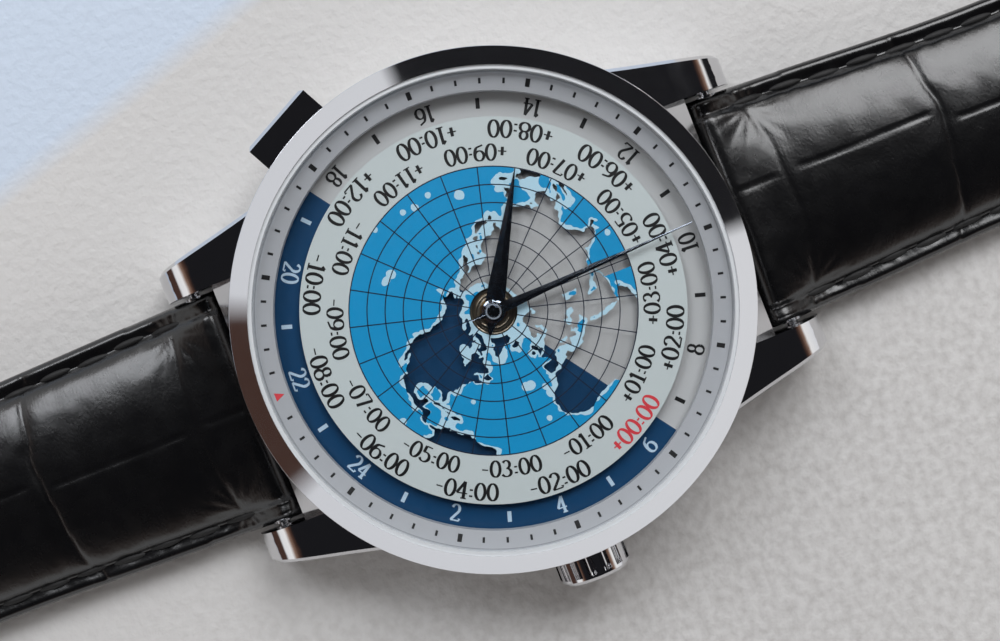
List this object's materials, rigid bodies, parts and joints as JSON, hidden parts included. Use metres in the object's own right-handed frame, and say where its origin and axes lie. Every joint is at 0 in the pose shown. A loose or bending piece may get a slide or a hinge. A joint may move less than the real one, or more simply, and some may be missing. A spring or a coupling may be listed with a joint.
{
  "type": "world time wristwatch",
  "caption": "Round steel world time wristwatch with map disc, 24-hour day and night disc, two hands, crown, corrector pusher and buckled leather strap.",
  "frame": {"origin": "centre of the case back's rest face, on the dial axis", "axes": "+Z out through the dial, +Y towards 12 o'clock along the strap, +X towards the crown at 3 o'clock"},
  "size_m": [0.0445, 0.2463, 0.0116],
  "materials": {
    "case_steel": "polished",
    "crystal": "polished sapphire with a clear coating",
    "seal": "matt",
    "flange_grey": "satin",
    "day_night_print": "satin print",
    "map_print": "printed lacquer",
    "gilt": "satin gilt",
    "hand_steel": "polished",
    "plate_metal": "satin with stripes",
    "wheel_brass": "satin",
    "part_steel": "polished",
    "jewel": "polished synthetic ruby",
    "ring_plastic": "matt",
    "strap_leather": "glossy large scale grain",
    "lining_leather": "smooth matt"
  },
  "bodies": {
    "case": {"case_middle": "case_steel", "bezel": "case_steel", "crystal": "crystal", "crystal_seal": "seal", "minute_flange": "flange_grey", "case_back": "case_steel", "case_back_window": "crystal", "window_seal": "seal", "case_back_seal": "seal", "case_back_screws": "part_steel", "crown_tube": "part_steel", "main_plate": "plate_metal", "barrel_bridge": "plate_metal", "train_bridge": "plate_metal", "balance_cock": "plate_metal", "pallet_bridge": "plate_metal", "bridge_screws": "part_steel", "jewels": "jewel", "rotor_bearing": "part_steel", "casing_ring": "ring_plastic", "module_plate": "plate_metal", "spring_bars": "part_steel", "pusher_spring": "part_steel", "hairspring": "part_steel"},
    "winding": {"winding_pinion": "part_steel"},
    "crown_set": {"crown": "case_steel", "crown_seal": "seal", "winding_stem": "part_steel", "sliding_pinion": "part_steel"},
    "crown_wheel": {"crown_wheel": "part_steel"},
    "ratchet": {"ratchet_wheel": "part_steel"},
    "barrel": {"barrel": "wheel_brass", "mainspring": "part_steel"},
    "centre": {"centre_wheel": "wheel_brass"},
    "third": {"third_wheel": "wheel_brass"},
    "fourth": {"fourth_wheel": "wheel_brass"},
    "escape": {"escape_wheel": "part_steel"},
    "pallets": {"pallet_fork": "part_steel"},
    "balance": {"balance_wheel": "wheel_brass"},
    "rotor": {"rotor": "case_steel"},
    "pusher": {"pusher": "case_steel"},
    "lever": {"corrector_lever": "part_steel"},
    "minute_set": {"minute_hand": "hand_steel", "cannon_pinion": "part_steel"},
    "minute_wheel": {"minute_wheel": "wheel_brass"},
    "hour_set": {"hour_hand": "hand_steel", "hour_wheel": "wheel_brass"},
    "day_idler": {"day_idler": "wheel_brass"},
    "day_night": {"day_night_disc": "day_night_print"},
    "world_map": {"map_disc": "map_print", "map_hub": "gilt"},
    "upper_strap": {"upper_strap": "strap_leather", "upper_strap_lining": "lining_leather", "fixed_keeper": "strap_leather"},
    "free_keeper": {"free_keeper": "strap_leather"},
    "lower_strap": {"lower_strap": "strap_leather", "lower_strap_lining": "lining_leather"},
    "buckle": {"buckle_frame": "case_steel", "buckle_bar": "part_steel"},
    "tongue": {"buckle_tongue": "case_steel"}
  },
  "joints": [
    {"name": "minute_hand_turn", "type": "hinge", "parent": "case", "child": "minute_set", "pos_m": [0, 0, 0.0097], "axis": [0, 0, -1], "continuous": true},
    {"name": "hour_hand_turn", "type": "hinge", "parent": "case", "child": "hour_set", "pos_m": [0, 0, 0.0093], "axis": [0, 0, -1], "continuous": true},
    {"name": "minute_wheel_turn", "type": "hinge", "parent": "case", "child": "minute_wheel", "pos_m": [-0.00271, -0.00098, 0.0069], "axis": [0, 0, -1], "continuous": true},
    {"name": "day_idler_turn", "type": "hinge", "parent": "case", "child": "day_idler", "pos_m": [0, 0.0035, 0.0074], "axis": [0, 0, -1], "continuous": true},
    {"name": "day_night_turn", "type": "hinge", "parent": "case", "child": "day_night", "pos_m": [0, 0, 0.0082], "axis": [0, 0, -1], "continuous": true},
    {"name": "world_map_turn", "type": "hinge", "parent": "case", "child": "world_map", "pos_m": [0, 0, 0.0088], "axis": [0, 0, -1], "continuous": true},
    {"name": "escape_wheel_turn", "type": "hinge", "parent": "case", "child": "escape", "pos_m": [-0.0006, -0.00725, 0.0044], "axis": [0, 0, -1], "continuous": true},
    {"name": "fourth_wheel_turn", "type": "hinge", "parent": "case", "child": "fourth", "pos_m": [-0.00364, -0.00549, 0.0048], "axis": [0, 0, -1], "continuous": true},
    {"name": "third_wheel_turn", "type": "hinge", "parent": "case", "child": "third", "pos_m": [-0.00473, -0.00174, 0.0044], "axis": [0, 0, -1], "continuous": true},
    {"name": "centre_wheel_turn", "type": "hinge", "parent": "case", "child": "centre", "pos_m": [0, 0, 0.004], "axis": [0, 0, -1], "continuous": true},
    {"name": "barrel_turn", "type": "hinge", "parent": "case", "child": "barrel", "pos_m": [0.00152, 0.00568, 0.0049], "axis": [0, 0, -1], "continuous": true},
    {"name": "pallet_swing", "type": "hinge", "parent": "case", "child": "pallets", "pos_m": [0.00265, -0.00668, 0.0044], "axis": [0, 0, -1], "range_deg": [-5, 5]},
    {"name": "balance_swing", "type": "hinge", "parent": "case", "child": "balance", "pos_m": [0.0059, -0.0061, 0.0035], "axis": [0, 0, -1], "range_deg": [-270, 270], "stiffness_Nm_per_rad": 0.00000039, "deforming": ["hairspring"]},
    {"name": "rotor_spin", "type": "hinge", "parent": "case", "child": "rotor", "pos_m": [0, 0, 0.0019], "axis": [0, 0, -1], "continuous": true},
    {"name": "crown_turn", "type": "hinge", "parent": "case", "child": "winding", "pos_m": [0, 0, 0.0048], "axis": [1, 0, 0], "continuous": true},
    {"name": "crown_pull", "type": "slide", "parent": "winding", "child": "crown_set", "axis": [1, 0, 0], "range_m": [0, 0.0016]},
    {"name": "crown_wheel_turn", "type": "hinge", "parent": "case", "child": "crown_wheel", "pos_m": [0.00718, 0.00304, 0.0026], "axis": [0, 0, -1], "continuous": true},
    {"name": "ratchet_turn", "type": "hinge", "parent": "case", "child": "ratchet", "pos_m": [0.00152, 0.00568, 0.0026], "axis": [0, 0, -1], "continuous": true},
    {"name": "pusher_press", "type": "slide", "parent": "case", "child": "pusher", "axis": [0.8886, 0.4586, 0], "range_m": [0, 0.0008], "stiffness_N_per_m": 2000, "deforming": ["pusher_spring"]},
    {"name": "corrector_lever_swing", "type": "hinge", "parent": "case", "child": "lever", "pos_m": [-0.01, -0.00809, 0.0069], "axis": [0, 0, 1], "range_deg": [-15, 0]},
    {"name": "upper_strap_swing", "type": "hinge", "parent": "case", "child": "upper_strap", "pos_m": [0, 0.0224, 0.003], "axis": [1, 0, 0], "range_deg": [-90, 70]},
    {"name": "lower_strap_swing", "type": "hinge", "parent": "case", "child": "lower_strap", "pos_m": [0, -0.0224, 0.003], "axis": [-1, 0, 0], "range_deg": [-90, 70]},
    {"name": "buckle_swing", "type": "hinge", "parent": "upper_strap", "child": "buckle", "pos_m": [0, 0.0974, 0.0024], "axis": [1, 0, 0], "range_deg": [-80, 30]},
    {"name": "tongue_swing", "type": "hinge", "parent": "buckle", "child": "tongue", "pos_m": [0, 0.0974, 0.0024], "axis": [1, 0, 0], "range_deg": [0, 90]},
    {"name": "free_keeper_slide", "type": "slide", "parent": "upper_strap", "child": "free_keeper", "axis": [0, 1, 0], "range_m": [-0.008, 0.0045]}
  ],
  "couplings": [
    {"joint": "hour_hand_turn", "follows": "minute_hand_turn", "ratio": 0.083333},
    {"joint": "minute_wheel_turn", "follows": "minute_hand_turn", "ratio": -0.33333},
    {"joint": "day_idler_turn", "follows": "minute_hand_turn", "ratio": -0.055556},
    {"joint": "day_night_turn", "follows": "minute_hand_turn", "ratio": 0.041667},
    {"joint": "fourth_wheel_turn", "follows": "escape_wheel_turn", "ratio": -0.083333},
    {"joint": "third_wheel_turn", "follows": "escape_wheel_turn", "ratio": 0.011111},
    {"joint": "centre_wheel_turn", "follows": "escape_wheel_turn", "ratio": -0.0013889},
    {"joint": "barrel_turn", "follows": "escape_wheel_turn", "ratio": 0.00023148},
    {"joint": "crown_wheel_turn", "follows": "crown_turn", "ratio": 0.46667},
    {"joint": "ratchet_turn", "follows": "crown_turn", "ratio": -0.29167},
    {"joint": "corrector_lever_swing", "follows": "pusher_press", "rad_per_m": -327}
  ]
}
